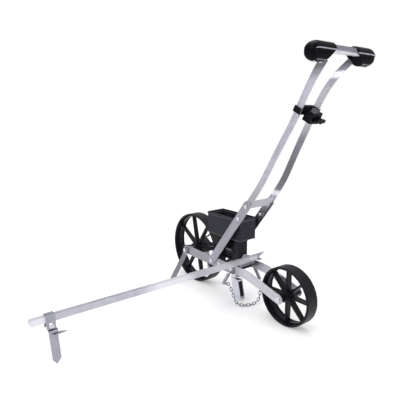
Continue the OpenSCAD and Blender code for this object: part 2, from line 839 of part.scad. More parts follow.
// Strap stand: a round tab on each end of the axle, flared legs and a flat foot.
module kickstand() {
    strap_w = 26;
    strap_t = 3;
    mid_y = kick_tab_y + strap_t / 2;
    foot_x = -49;
    slope = [foot_x, -front_axle_z] / norm([foot_x, -front_axle_z]);
    knee = front_axle + 25 * slope;
    color(STEEL) difference() {
        union() {
            for (side = [-1, 1]) on_side(side) {
                plate_xz(kick_tab_y, strap_t) {
                    for (at = [front_axle, knee]) translate(at) circle(strap_w / 2);
                    translate(front_axle) rotate(atan2(slope[1], slope[0]))
                        translate([0, -strap_w / 2]) square([25, strap_w]);
                }
                bar_piece([knee[0], mid_y, knee[1]], [foot_x, kick_foot_y - 2, 0], strap_w, strap_t);
            }
            translate([foot_x - strap_w / 2, -kick_foot_y, 0])
                cube([strap_w, 2 * kick_foot_y, strap_t]);
        }
        translate([-200, -200, -100]) cube([400, 400, 100]);
        rod_y(axle_r + run_clear, -far, far, front_axle);
    }
}

// ---------- opener ----------

// The V of the folded plate seen along its fold, or the room inside it.
module opener_vee(shift) {
    translate([shift / sin(opener_half_angle), 0])
        polygon([[0, 0], [70, 70 * tan(opener_half_angle)], [70, -70 * tan(opener_half_angle)]]);
}

// Stands a shape along the sloping fold of the opener.
module along_fold() {
    translate([opener_top[0], 0, opener_top[1]]) rotate([0, -opener_tilt, 0])
        translate([0, 0, -120]) linear_extrude(160) children();
}

module opener() {
    color(STEEL) {
        difference() {
            union() {
                intersection() {
                    along_fold() difference() {
                        opener_vee(0);
                        opener_vee(opener_t);
                    }
                    plate_xz(-30, 60) polygon([[200, 86], [282, 86], [300, 9],
                        [293, opener_low_z], [200, opener_low_z]]);
                }
                translate([279.2, -12, 79]) cube([2, 24, 6]);
                translate([shank_x, -shank_t / 2, 68]) cube([shank_w, shank_t, 122]);
            }
            // slot for the depth bolt
            for (z = [guide_bolt[1] - 10, guide_bolt[1] + 30])
                rod_y(guide_bolt_r + 0.3, -10, 10, [guide_bolt[0], z]);
            translate([guide_bolt[0] - guide_bolt_r - 0.3, -10, guide_bolt[1] - 10])
                cube([2 * guide_bolt_r + 0.6, 20, 40]);
        }
    }
}

// Plastic spout inside the opener that lets the seed fall into the furrow.
module seed_spout() {
    color(BLACK) intersection() {
        along_fold() difference() {
            intersection() {
                opener_vee(opener_t + 0.2);
                translate([spout_in, -20]) square([6, 40]);
            }
            translate([spout_in + 2, -1.5]) square([2, 3]);
        }
        translate([200, -20, 20]) cube([120, 40, 64]);
    }
}

module opener_guide() {
    color(STEEL) difference() {
        union() {
            translate([shank_x - 3.4, -6.5, guide_low_z])
                cube([shank_w + 6.4, 13, guide_top_z - guide_low_z]);
            rod_y(11.5, -6.5, 6.5, guide_tube);
        }
        translate([shank_x - 0.1, -shank_t / 2 - 0.1, 100]) cube([shank_w + 0.2, shank_t + 0.2, 100]);
        rod_y(tube_r + 0.1, -20, 20, guide_tube);
        rod_y(guide_bolt_r + bolt_gap, -20, 20, guide_bolt);
    }
}

module opener_bolt() {
    color(ZINC) {
        rod_y(guide_bolt_r, -7, 19, guide_bolt);
        rod_y(6, -10, -6.5, guide_bolt);
    }
}

module opener_wing_nut() {
    color(ZINC) translate([guide_bolt[0], 6.6, guide_bolt[1]]) rotate([-90, 0, 0])
        rotate(90) wing_nut(guide_bolt_r + run_clear);
}

// ---------- covering chain ----------

// A round ring of wire about Z.
module wire_ring(r, wire) {
    rotate_extrude($fn = 48) translate([r, 0]) circle(wire, $fn = 24);
}

// One oval chain link along Z, flat in the XZ plane. Its straight sides are a hair
// thinner than its bends and reach a little into them.
module chain_link(pitch) {
    half = pitch / 2 + joint_in - link_bend;
    reach = 0.3;
    rotate([90, 0, 0]) {
        for (s = [-1, 1]) translate([s * link_bend, -half - reach, 0]) rotate([-90, 0, 0])
            cylinder(r = link_wire_r - 0.02, h = 2 * (half + reach), $fn = 24);
        for (s = [0, 1]) rotate(180 * s) translate([0, half, 0])
            rotate_extrude(angle = 180, $fn = 48) translate([link_bend, 0])
                circle(link_wire_r, $fn = 24);
    }
}

// A link between two joints, turned about its own line.
module link_between(a, b, turn) {
    aim(a, b) translate([0, 0, norm(b - a) / 2]) rotate([0, 0, turn]) chain_link(norm(b - a));
}

module drag_chain() {
    color(ZINC) {
        for (i = [0 : link_count - 1])
            link_between(chain_point(i * link_pitch), chain_point((i + 1) * link_pitch),
                roll(link_way(i), link_side(i, link_twist)));
        link_between(left_eye + loop_reach * end_link_way, left_eye + ring_from * end_link_way,
            roll(end_link_way, unit(left_loop_normal + ring_normal)));
    }
}

// Round ring between the end link and the chain's run.
module chain_ring() {
    color(ZINC) aim(ring_centre, ring_centre + ring_normal) wire_ring(ring_r, link_wire_r);
}

// Close-wound extension springs with a loop at each end.
module chain_springs() {
    coil_from = 8;
    coil_to = coil_from + 2 * spring_turns;
    cap_t = 1.2;
    upper_loop = loop_reach - chain_bolt_r - link_play / 2;
    color(STEEL) for (e = [[-spring_y, left_spring_way, left_eye, left_loop_normal],
                           [spring_y, right_spring_way, right_eye, right_loop_normal]]) {
        top = [chain_anchor[0], e[0], chain_anchor[1]];
        aim(top, top + e[1]) {
            translate([0, 0, coil_from]) rotate_extrude($fn = 48)
                for (i = [0 : spring_turns])
                    translate([spring_coil_r, i * 2]) circle(spring_wire, $fn = 24);
            for (z = [coil_from, coil_to - cap_t])
                translate([0, 0, z]) cylinder(r = spring_coil_r, h = cap_t);
            translate([0, 0, upper_loop]) rotate([90, 0, 0]) wire_ring(spring_loop_r, loop_wire);
        }
        aim(e[2], e[2] + e[3]) wire_ring(spring_loop_r, loop_wire);
    }
}

// Bolts through rail and rear arm that the springs hang on, each with its nut.
module chain_bolts() {
    nut_low = arm_y - 3.2;
    color(ZINC) for (side = [-1, 1]) on_side(side) {
        rod_y(chain_bolt_r, nut_low - 1, spring_y + 4, chain_anchor);
        rod_y(4.5, spring_y + 4, spring_y + 5.5, chain_anchor);
        difference() {
            hex_y(4, nut_low, arm_y, chain_anchor);
            rod_y(chain_bolt_r + 0.02, nut_low - 1, arm_y + 1, chain_anchor);
        }
    }
}

// ---------- row marker ----------

// Channel open at the bottom, across the machine, drilled for its pivot bolt.
module marker_arm() {
    low_x = marker_x - marker_w / 2;
    low_z = marker_pivot_z - marker_w / 2;
    color(STEEL) difference() {
        translate([low_x, -marker_reach, low_z])
            cube([marker_w, marker_reach + marker_end_y, marker_w]);
        translate([low_x + marker_wall, -marker_reach - 1, low_z - 1])
            cube([marker_w - 2 * marker_wall, marker_reach + marker_end_y + 2, marker_w - marker_wall + 1]);
        translate([low_x - 1, 0, marker_pivot_z]) rotate([0, 90, 0])
            cylinder(r = marker_pin_r + run_clear, h = marker_w + 2);
    }
}

// Plate behind the hopper with the marker's pivot hole, a long right wing
// and a bent lip on each side that the arm rests on.
module marker_bracket() {
    plate_x = marker_x - marker_w / 2 - 3.8;
    lip_z = marker_pivot_z - marker_w / 2 - 3.2;
    color(STEEL) {
        difference() {
            plate_yz(plate_x, 3) polygon([[-62, lip_z], [-62, 188], [-30, 193], [-20, 205], [-10, 206],
                [16, 194], [95, 194.5], [62, 176], [62, lip_z], [43, lip_z], [38, 157], [-38, 157],
                [-43, lip_z]]);
            translate([plate_x - 1, 0, marker_pivot_z]) rotate([0, 90, 0])
                cylinder(r = marker_pin_r + bolt_gap, h = 6);
            for (y = [-bracket_screw[0], bracket_screw[0]])
                translate([plate_x - 1, y, bracket_screw[1]]) rotate([0, 90, 0])
                    cylinder(r = 2.2, h = 6);
        }
        for (side = [-1, 1]) on_side(side)
            translate([plate_x + 2.9, 43, lip_z]) cube([marker_w + 0.8, 19, 3]);
    }
}

module marker_pivot_bolt() {
    rear = marker_x + marker_w / 2;
    front = marker_x - marker_w / 2 - 3.8;
    color(ZINC) translate([0, 0, marker_pivot_z]) {
        translate([front - 7, 0, 0]) rotate([0, 90, 0]) cylinder(r = marker_pin_r, h = rear - front + 8);
        translate([rear + 0.1, 0, 0]) rotate([0, 90, 0]) cylinder(r = 7, h = 3.6, $fn = 6);
        translate([front - 5.2, 0, 0]) rotate([0, 90, 0]) cylinder(r = 7, h = 5.1, $fn = 6);
        for (y = [-bracket_screw[0], bracket_screw[0]])
            translate([front - 8, y, bracket_screw[1] - marker_pivot_z]) rotate([0, 90, 0]) {
                cylinder(r = 2, h = 11);
                translate([0, 0, 11]) cylinder(r = 3, h = 1.8);
            }
    }
}

// Strap folded over the arm; its two legs hang below and are pinched by a bolt.
module marker_clamp() {
    gap = 0.1;
    t = 2.5;
    strap_w = 26;
    low_x = marker_x - marker_w / 2 - gap - t;
    low_z = blade_bolt_z - 11;
    top_z = marker_pivot_z + marker_w / 2 + gap;
    full = marker_w + 2 * (gap + t);
    color(STEEL) translate([0, -blade_y - strap_w / 2, 0]) difference() {
        union() {
            translate([low_x, 0, top_z]) cube([full, strap_w, t]);
            for (x = [low_x, low_x + full - t])
                translate([x, 0, low_z]) cube([t, strap_w, top_z - low_z + 1]);
        }
        translate([low_x - 1, strap_w / 2, blade_bolt_z]) rotate([0, 90, 0])
            cylinder(r = 3.2, h = full + 2);
    }
}

// Pointed blade that hangs between the clamp's legs, with a bent step and a side wing.
module marker_blade() {
    t = 2.5;
    x0 = marker_x - t / 2;
    step_z = blade_bolt_z - 19;
    color(STEEL) translate([0, -blade_y, 0]) difference() {
        union() {
            plate_yz(x0, t) polygon([[-11, 176], [13, 176], [20, 132], [24, 58], [11, 41], [-1, 56],
                [-6, 140]]);
            translate([x0, -8, step_z]) cube([13, 26, t]);
            translate([x0 + 11, -8, step_z - 5]) cube([t, 26, 6]);
            plate_xy(step_z - 14, t) polygon([[x0, 0], [x0 + 14, 8], [x0 + 9, 44], [x0, 27]]);
        }
        translate([x0 - 1, 0, blade_bolt_z]) rotate([0, 90, 0]) cylinder(r = 3.2, h = 5);
    }
}

module marker_bolt() {
    rear = marker_x + marker_w / 2 + 2.6;
    front = marker_x - marker_w / 2 - 2.6;
    color(ZINC) translate([0, -blade_y, blade_bolt_z]) {
        translate([front - 14, 0, 0]) rotate([0, 90, 0]) cylinder(r = 3, h = rear - front + 15);
        translate([rear, 0, 0]) difference() {
            rotate([0, 90, 0]) cylinder(r1 = 8.5, r2 = 6.5, h = 4);
            rotate([35, 0, 0]) translate([2, -10, -1.1]) cube([3, 20, 2.2]);
        }
    }
}

module marker_wing_nut() {
    front = marker_x - marker_w / 2 - 2.6;
    color(ZINC) translate([front - 0.1, -blade_y, blade_bolt_z]) rotate([0, -90, 0])
        wing_nut(3 + run_clear);
}

// ---------- spare seed-plate rack on the handle ----------

// Moves to the rack's own frame: local X along the bars, Z square to them, to the front.
module at_rack() {
    translate([rack_origin[0], 0, rack_origin[1]]) rotate([0, -rack_angle, 0]) children();
}

module plate_rack() {
    half = rack_bar_y;
    body_y = half - 5.4;
    color(BLACK) at_rack() difference() {
        union() {
            // web between the bars, and the higher part of it near the left bar
            translate([0, -body_y, -13]) cube([18, 2 * body_y, 9]);
            translate([0, -body_y, -13]) cube([29, body_y + 4, 9]);
            // clips round the front of each bar
            for (side = [-1, 1]) on_side(side) {
                translate([0, half, -13]) cube([19, 3, 28.5]);
                translate([0, half - 10, 12.5]) cube([19, 13, 3]);
                translate([0, half - 10, -13]) cube([19, 4.6, 28.5]);
            }
            translate([-16, -22, -44]) cube([36, 44, 32]);
        }
        translate([-8, -17, -50]) cube([12, 14, 25]);
        translate([rack_knob[0], rack_knob[1], -60]) cylinder(r = 4.2, h = 52);
    }
}

module plate_rack_spindle() {
    color(ZINC) at_rack() translate([rack_knob[0], rack_knob[1], -54]) cylinder(r = 4, h = 46);
}

module plate_rack_knob() {
    color(BLACK) at_rack() translate([rack_knob[0], rack_knob[1], 0]) difference() {
        union() {
            translate([0, 0, -58]) cylinder(r = 9, h = 13.9);
            translate([-5, -19, -58]) cube([10, 38, 8]);
        }
        // blind hole for the spindle
        translate([0, 0, -54 - run_clear]) cylinder(r = 4 + run_clear, h = 40);
    }
}

left_frame_rail();
right_frame_rail();
left_rear_arm();
right_rear_arm();
left_lower_handle();
right_lower_handle();
left_upper_handle();
right_upper_handle();
handle_brace();
handle_crossbar();
left_grip_upper();
left_grip_lower();
right_grip_upper();
right_grip_lower();
grip_screws();
frame_spacer_tubes();
frame_bolts();
arm_bolts();
handle_bolts();
frame_nuts();
hopper();
hopper_base();
hopper_screws();
seed_chute();
seed_plate();
seed_plate_shaft();
shaft_bushes();
driven_pulley();
drive_belt();
drive_pulley();
front_wheel();
front_axle_bolt();
front_axle_nut();
front_axle_spacers();
kickstand();
kickstand_washers();
rear_wheel();
rear_axle_bolt();
rear_axle_nut();
rear_axle_spacers();
opener();
seed_spout();
opener_guide();
opener_bolt();
opener_wing_nut();
chain_springs();
chain_ring();
drag_chain();
chain_bolts();
marker_arm();
marker_bracket();
marker_pivot_bolt();
marker_clamp();
marker_blade();
marker_bolt();
marker_wing_nut();
plate_rack();
plate_rack_spindle();
plate_rack_knob();
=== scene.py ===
"""Looks for the garden row seeder.

Node materials for every CAD node, sculpted grips and coil springs, then floor, light and camera.
Lengths are in metres, and in millimetres for the grips and the springs until MM is applied.
Near means the left side (-Y), which faces the camera, and far means the right side (+Y).
"""

import math

import bmesh
import bpy
from mathutils import Matrix, Vector


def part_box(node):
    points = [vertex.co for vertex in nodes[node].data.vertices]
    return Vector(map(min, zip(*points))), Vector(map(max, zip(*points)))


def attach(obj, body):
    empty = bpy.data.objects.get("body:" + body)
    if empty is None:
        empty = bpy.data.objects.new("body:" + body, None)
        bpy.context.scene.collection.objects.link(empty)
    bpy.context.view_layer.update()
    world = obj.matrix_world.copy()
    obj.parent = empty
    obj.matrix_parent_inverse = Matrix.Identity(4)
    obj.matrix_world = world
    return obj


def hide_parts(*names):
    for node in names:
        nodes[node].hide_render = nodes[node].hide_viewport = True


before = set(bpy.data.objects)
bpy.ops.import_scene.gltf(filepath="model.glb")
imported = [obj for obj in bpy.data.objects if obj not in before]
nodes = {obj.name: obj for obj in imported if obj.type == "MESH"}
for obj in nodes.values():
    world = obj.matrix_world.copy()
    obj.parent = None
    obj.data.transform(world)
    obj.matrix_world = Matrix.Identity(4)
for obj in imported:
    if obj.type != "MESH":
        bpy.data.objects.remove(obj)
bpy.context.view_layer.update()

MM = 0.001

# ---------- node helpers ----------


def find_input(node, key):
    """An input by its index, written i0 or i1, or by its name with _ for a space."""
    if key[0] == "i" and key[1:].isdigit():
        return node.inputs[int(key[1:])]
    return node.inputs[key.replace("_", " ")]


def feed(tree, socket, value):
    """Links an input to another node's socket, or gives it a plain value."""
    if isinstance(value, bpy.types.NodeSocket):
        tree.links.new(value, socket)
    else:
        socket.default_value = value


def add_node(tree, kind, options=None, **inputs):
    """Adds a shader node, sets its options and feeds its inputs."""
    node = tree.nodes.new("ShaderNode" + kind)
    for key, value in (options or {}).items():
        setattr(node, key, value)
    for key, value in inputs.items():
        feed(tree, find_input(node, key), value)
    return node


def math_node(tree, operation, a, b=0.0):
    """One step of arithmetic on values or sockets."""
    return add_node(tree, "Math", {"operation": operation}, i0=a, i1=b).outputs[0]


def mix_colour(tree, factor, a, b, blend="MIX"):
    """Mixes two colours by a factor, or blends the second onto the first."""
    node = tree.nodes.new("ShaderNodeMix")
    node.data_type = "RGBA"
    node.blend_type = blend
    for name, kind, value in (("Factor", "VALUE", factor), ("A", "RGBA", a), ("B", "RGBA", b)):
        socket = next(s for s in node.inputs if s.name == name and s.type == kind)
        feed(tree, socket, value)
    return next(s for s in node.outputs if s.type == "RGBA")


def remap(tree, value, low, high, to_low, to_high):
    """Maps a range of values to another range and holds it at both ends."""
    return add_node(tree, "MapRange", None, Value=value, From_Min=low, From_Max=high,
                    To_Min=to_low, To_Max=to_high).outputs[0]


def grey(v):
    return (v, v, v, 1.0)


def tint(r, g, b):
    return (r, g, b, 1.0)


def scale_colour(colour, k):
    return tint(*(c * k for c in colour[:3]))


class Material:
    """A material with object coordinates, rounded edges for the light, and a shader to fill in."""

    def __init__(self, name, edge_radius):
        self.data = bpy.data.materials.new(name)
        self.data.use_nodes = True
        self.tree = self.data.node_tree
        self.tree.nodes.clear()
        self.place = add_node(self.tree, "TexCoord").outputs["Object"]
        self.round_normal = add_node(self.tree, "Bevel", {"samples": 6}, Radius=edge_radius).outputs[0]
        true_normal = add_node(self.tree, "NewGeometry").outputs["True Normal"]
        facing = add_node(self.tree, "VectorMath", {"operation": "DOT_PRODUCT"},
                          i0=self.round_normal, i1=true_normal).outputs["Value"]
        # Mask of the rounded edges; the finishes paint pale edge highlights with it.
        self.edges = remap(self.tree, facing, 0.80, 0.99, 1.0, 0.0)
        self.shader = add_node(self.tree, "BsdfPrincipled")
        output = add_node(self.tree, "OutputMaterial")
        self.tree.links.new(self.shader.outputs[0], output.inputs[0])

    def spread(self, scale, turn=(0, 0, 0)):
        """Object coordinates turned and then scaled along each axis."""
        turned = add_node(self.tree, "Mapping", None, Vector=self.place, Rotation=turn).outputs[0]
        return add_node(self.tree, "Mapping", None, Vector=turned, Scale=scale).outputs[0]

    def noise(self, vector, scale, detail=3.0, roughness=0.55):
        """Soft noise between 0 and 1."""
        return add_node(self.tree, "TexNoise", None, Vector=vector, Scale=scale, Detail=detail,
                        Roughness=roughness).outputs["Fac"]

    def bump(self, height, strength, distance):
        """A normal that follows a height, on top of the rounded edges."""
        return add_node(self.tree, "Bump", None, Height=height, Strength=strength, Distance=distance,
                        Normal=self.round_normal).outputs[0]

    def set(self, **inputs):
        """Feeds the shader and returns the finished material."""
        for key, value in inputs.items():
            feed(self.tree, find_input(self.shader, key), value)
        return self.data


# ---------- materials ----------

# A band of painted light (a highlight when pale, a shade when dark) is full inside the first share of its
# half width and gone at the second.
BAND_CORE, BAND_FADE = 0.45, 1.2
# The most that a band replaces of the colour below it, and its blue against its red and green.
BAND_SHARE, BAND_BLUE = 0.9, 1.05


def painted_light_bands(m, colour, bands):
    """Paints highlights and shade in soft bands by blending a colour towards grey: an axis, from and to in
    metres, and the grey value.
    """
    place = add_node(m.tree, "SeparateXYZ", None, Vector=m.place).outputs
    for axis, low, high, value in bands:
        middle = (low + high) / 2
        half = (high - low) / 2
        away = math_node(m.tree, "ABSOLUTE", math_node(m.tree, "SUBTRACT", place[axis], middle))
        near = remap(m.tree, away, half * BAND_CORE, half * BAND_FADE, BAND_SHARE, 0.0)
        colour = mix_colour(m.tree, near, colour, tint(value, value, value * BAND_BLUE))
    return colour


def rolled_aluminium(name, tone, way, bands=(), depth=1.0, metallic=0.92):
    """Flat bar with rolling lines along way, painted highlights on its edges, and bands of painted highlight
    and shade.
    """
    m = Material(name, 0.0008)
    turn = Vector(way).rotation_difference(Vector((1, 0, 0))).to_euler()
    lines = m.noise(m.spread((5, 700, 700), turn), 1.0, 4.0, 0.7)
    flow = m.noise(m.spread((9, 60, 60), turn), 1.0, 3.0)
    blotch = m.noise(m.place, 45.0, 4.0, 0.6)
    speck = m.noise(m.place, 900.0, 2.0)
    light = math_node(m.tree, "ADD", remap(m.tree, lines, 0.3, 0.7, -0.07 * depth, 0.07 * depth),
                      remap(m.tree, flow, 0.3, 0.7, -0.06 * depth, 0.06 * depth))
    light = math_node(m.tree, "ADD", light, remap(m.tree, blotch, 0.3, 0.7, 0.90, 1.06))
    colour = mix_colour(m.tree, 1.0, tone, light, "MULTIPLY")
    # Pale painted highlights on the edges.
    colour = mix_colour(m.tree, math_node(m.tree, "MULTIPLY", m.edges, 0.75), colour, tint(0.86, 0.86, 0.90))
    # Bands of painted highlight and shade.
    colour = painted_light_bands(m, colour, bands)
    rough = remap(m.tree, math_node(m.tree, "ADD", flow, blotch), 0.7, 1.3, 0.30, 0.46)
    bumps = math_node(m.tree, "ADD", lines, math_node(m.tree, "MULTIPLY", speck, 0.4))
    return m.set(Base_Color=colour, Metallic=metallic, Roughness=rough, Normal=m.bump(bumps, 0.16, 0.0003))


def zinc_sheet(name, tone, rough=0.36):
    """Zinc-plated sheet: soft spangle, small scuffs and pale painted highlights on the edges."""
    m = Material(name, 0.0006)
    wander = add_node(m.tree, "TexNoise", None, Vector=m.place, Scale=90.0).outputs["Color"]
    warped = add_node(m.tree, "VectorMath", {"operation": "ADD"}, i0=m.place, i1=wander).outputs[0]
    spangle = add_node(m.tree, "TexVoronoi", None, Vector=warped, Scale=160.0).outputs["Color"]
    cell = add_node(m.tree, "SeparateColor", None, Color=spangle).outputs[0]
    cloud = m.noise(m.place, 38.0, 4.0, 0.6)
    scuff = m.noise(m.spread((60, 900, 300)), 1.0, 4.0, 0.75)
    light = math_node(m.tree, "ADD", remap(m.tree, cell, 0.0, 1.0, -0.05, 0.05),
                      remap(m.tree, cloud, 0.3, 0.7, 0.90, 1.07))
    light = math_node(m.tree, "ADD", light, remap(m.tree, scuff, 0.62, 0.8, 0.0, 0.12))
    colour = mix_colour(m.tree, 1.0, tone, light, "MULTIPLY")
    # Pale painted highlights on the edges.
    colour = mix_colour(m.tree, math_node(m.tree, "MULTIPLY", m.edges, 0.7), colour, tint(0.84, 0.85, 0.90))
    rough_in = remap(m.tree, math_node(m.tree, "ADD", cell, cloud), 0.3, 1.5, rough - 0.06, rough + 0.1)
    return m.set(Base_Color=colour, Metallic=0.9, Roughness=rough_in, Normal=m.bump(scuff, 0.12, 0.0003))


def plated_steel(name, tone, rough=0.24):
    """Bright plated bolts, nuts, wire and links."""
    m = Material(name, 0.0004)
    grain = m.noise(m.place, 420.0, 3.0)
    dull = m.noise(m.place, 120.0, 3.0, 0.6)
    colour = mix_colour(m.tree, remap(m.tree, dull, 0.35, 0.7, 0.0, 0.45), tone, scale_colour(tone, 0.62))
    # Pale painted highlights on the edges.
    colour = mix_colour(m.tree, math_node(m.tree, "MULTIPLY", m.edges, 0.5), colour, tint(0.9, 0.9, 0.94))
    rough_in = remap(m.tree, grain, 0.3, 0.7, rough, rough + 0.14)
    return m.set(Base_Color=colour, Metallic=1.0, Roughness=rough_in, Normal=m.bump(grain, 0.12, 0.0002))


def moulded_plastic(name, tone, dust_and_highlight_tone, rough, grain_scale=1500.0, grain=0.12, shine=0.22, bands=()):
    """Black moulded plastic: fine grain, flow marks, pale dust, painted highlights on the edges, and bands
    of painted light.
    """
    m = Material(name, 0.0008)
    fine = m.noise(m.place, grain_scale, 2.0)
    flow = m.noise(m.spread((14, 40, 26)), 1.0, 4.0, 0.6)
    dust = m.noise(m.place, 70.0, 5.0, 0.65)
    colour = mix_colour(m.tree, remap(m.tree, flow, 0.3, 0.7, 0.0, 1.0), tone, scale_colour(tone, 1.5))
    colour = mix_colour(m.tree, remap(m.tree, dust, 0.60, 0.85, 0.0, 0.10), colour, dust_and_highlight_tone)
    # Pale painted highlights on the edges, in the same tone as the dust.
    colour = mix_colour(m.tree, math_node(m.tree, "MULTIPLY", m.edges, 0.8), colour, dust_and_highlight_tone)
    # Bands of painted light.
    colour = painted_light_bands(m, colour, bands)
    rough_in = remap(m.tree, math_node(m.tree, "ADD", fine, dust), 0.7, 1.3, rough - 0.05, rough + 0.09)
    return m.set(Base_Color=colour, Roughness=rough_in, Specular_IOR_Level=shine,
                 Normal=m.bump(fine, grain, 0.0002))


def belt_rubber(name):
    """Black rubber with a fine nap and worn, paler patches."""
    m = Material(name, 0.0004)
    nap = m.noise(m.place, 1200.0, 3.0)
    wear = m.noise(m.place, 90.0, 4.0)
    colour = mix_colour(m.tree, remap(m.tree, wear, 0.4, 0.7, 0.0, 1.0), grey(0.012), grey(0.03))
    rough_in = remap(m.tree, wear, 0.3, 0.7, 0.55, 0.75)
    return m.set(Base_Color=colour, Roughness=rough_in, Normal=m.bump(nap, 0.3, 0.0002))


def rising(angle):
    """Direction that leans to the rear at an angle in degrees above the floor."""
    return (math.cos(math.radians(angle)), 0, math.sin(math.radians(angle)))


# Rolling directions of the bars.
HANDLE_WAY, UPPER_WAY = rising(52.43), rising(61)
ARM_WAY = (0.93, 0, -0.37)
ALONG_X, ALONG_Y, ALONG_Z = (1, 0, 0), (0, 1, 0), (0, 0, 1)

# The handle bars are one rolled aluminium in lit and shaded copies: the near upper bar is the lit one, and
# the near lower bar and both far bars are painted shade.
BAR_NEAR_LOW_SHADED = rolled_aluminium("bar_near_low_shaded", tint(0.33, 0.325, 0.37), HANDLE_WAY, depth=1.6)
BAR_FAR_LOW_SHADED = rolled_aluminium("bar_far_low_shaded", tint(0.20, 0.20, 0.23), HANDLE_WAY)
# The near upper bar's bands are painted shade towards its foot and a painted shadow under the grip.
BAR_NEAR_UP_LIT = rolled_aluminium("bar_near_up_lit", tint(0.58, 0.57, 0.65), UPPER_WAY,
                               bands=(("Z", 0.34, 0.50, 0.40), ("Z", 0.835, 0.94, 0.13)))
# The far upper bar's bands are painted highlights at its two bends and along its upper stretch, painted
# shade below and between them, and a painted shadow under the grip.
BAR_FAR_UP_SHADED = rolled_aluminium("bar_far_up_shaded", tint(0.25, 0.245, 0.29), UPPER_WAY,
                              bands=(("Z", 0.34, 0.42, 0.24), ("Z", 0.436, 0.462, 0.90),
                                     ("Z", 0.468, 0.60, 0.17), ("Z", 0.66, 0.832, 0.62),
                                     ("Z", 0.836, 0.858, 0.85), ("Z", 0.862, 0.93, 0.06)))
RAIL = rolled_aluminium("rail_bar", tint(0.31, 0.305, 0.335), ALONG_X)
# The near rear arm's band is painted shade.
ARM_NEAR = rolled_aluminium("rear_arm_near", tint(0.52, 0.515, 0.56), ARM_WAY,
                            bands=(("X", 0.22, 0.34, 0.30),), depth=1.5)
ARM_FAR = rolled_aluminium("rear_arm_far", tint(0.58, 0.57, 0.62), ARM_WAY)
# The crossbar's band is a painted highlight along its lower part.
CROSS = rolled_aluminium("cross_bar", tint(0.25, 0.245, 0.29), ALONG_Y,
                         bands=(("Z", 0.889, 0.902, 0.80),))
BRACE = rolled_aluminium("brace_sheet", tint(0.42, 0.415, 0.47), ALONG_Y)
# The marker channel's bands are painted highlights along its top.
MARKER = rolled_aluminium("marker_channel", tint(0.46, 0.46, 0.52), ALONG_Y,
                          bands=(("Y", -0.84, -0.765, 0.72), ("Y", -0.47, -0.25, 0.76),
                                 ("Y", -0.23, 0.02, 0.94)), depth=1.5, metallic=0.85)
STAND = rolled_aluminium("stand_strap", tint(0.28, 0.28, 0.31), ALONG_Z)
SHEET = zinc_sheet("zinc_sheet", tint(0.33, 0.33, 0.38))
OPENER = zinc_sheet("opener_zinc", tint(0.72, 0.72, 0.80))
BRIGHT = plated_steel("zinc_hardware", tint(0.70, 0.70, 0.73))
CHAIN = plated_steel("chain_zinc", tint(0.28, 0.31, 0.35), 0.20)
SPRING = plated_steel("spring_wire", tint(0.34, 0.34, 0.38), 0.24)
# The hopper's two pale bands are painted highlights: one under the rim lip and one along the bottom flange.
HOPPER = moulded_plastic("hopper_plastic", tint(0.010, 0.010, 0.017), tint(0.085, 0.085, 0.11), 0.42,
                         shine=0.19, bands=(("Z", 0.3355, 0.3385, 0.10), ("Z", 0.2590, 0.2632, 0.09)))
BASE = moulded_plastic("base_plastic", tint(0.004, 0.004, 0.006), tint(0.045, 0.045, 0.055), 0.40,
                       shine=0.14)
WHEEL = moulded_plastic("wheel_plastic", tint(0.004, 0.004, 0.006), tint(0.035, 0.034, 0.042), 0.36,
                        1100.0, 0.10, shine=0.16)
GRIP = moulded_plastic("grip_plastic", tint(0.002, 0.0015, 0.0025), tint(0.016, 0.015, 0.02), 0.22,
                       900.0, 0.03, shine=0.05)
RACK = moulded_plastic("rack_plastic", tint(0.003, 0.003, 0.004), tint(0.035, 0.035, 0.042), 0.36,
                       shine=0.10)
# Pale painted highlights on the black grips: a line along the ledge and a band low on the rear face.
GRIP_LEDGE_HIGHLIGHT = moulded_plastic("grip_ledge_highlight", tint(0.30, 0.28, 0.33), tint(0.50, 0.48, 0.54), 0.26, 900.0, 0.04)
GRIP_BAND_HIGHLIGHT = moulded_plastic("grip_band_highlight", tint(0.13, 0.12, 0.15), tint(0.26, 0.24, 0.29), 0.26, 900.0, 0.04)
NYLON = moulded_plastic("nylon", tint(0.05, 0.05, 0.06), tint(0.14, 0.14, 0.15), 0.40)
SPACER = moulded_plastic("spacer_plastic", tint(0.006, 0.006, 0.008), tint(0.04, 0.04, 0.05), 0.38)
RUBBER = belt_rubber("belt_rubber")

# Which CAD nodes get which material.
FINISH = {
    RAIL: ["left_frame_rail", "right_frame_rail"],
    ARM_NEAR: ["left_rear_arm"],
    ARM_FAR: ["right_rear_arm"],
    BAR_NEAR_LOW_SHADED: ["left_lower_handle"],
    BAR_FAR_LOW_SHADED: ["right_lower_handle"],
    BAR_NEAR_UP_LIT: ["left_upper_handle"],
    BAR_FAR_UP_SHADED: ["right_upper_handle"],
    CROSS: ["handle_crossbar"],
    BRACE: ["handle_brace"],
    MARKER: ["marker_arm"],
    STAND: ["kickstand"],
    SHEET: ["opener_guide", "marker_bracket", "marker_clamp", "marker_blade"],
    OPENER: ["opener"],
    BRIGHT: ["grip_screws", "frame_spacer_tubes", "frame_bolts", "arm_bolts", "handle_bolts", "frame_nuts",
             "hopper_screws", "seed_plate_shaft", "front_axle_bolt", "front_axle_nut", "front_axle_spacers",
             "kickstand_washers", "rear_axle_bolt", "rear_axle_nut", "opener_bolt", "opener_wing_nut",
             "chain_bolts", "marker_pivot_bolt", "marker_bolt", "marker_wing_nut", "plate_rack_spindle"],
    CHAIN: ["drag_chain", "chain_ring"],
    HOPPER: ["hopper"],
    RACK: ["plate_rack", "plate_rack_knob"],
    BASE: ["hopper_base", "seed_chute", "seed_spout"],
    WHEEL: ["front_wheel", "rear_wheel"],
    NYLON: ["seed_plate", "shaft_bushes", "driven_pulley", "drive_pulley"],
    SPACER: ["rear_axle_spacers"],
    RUBBER: ["drive_belt"],
}


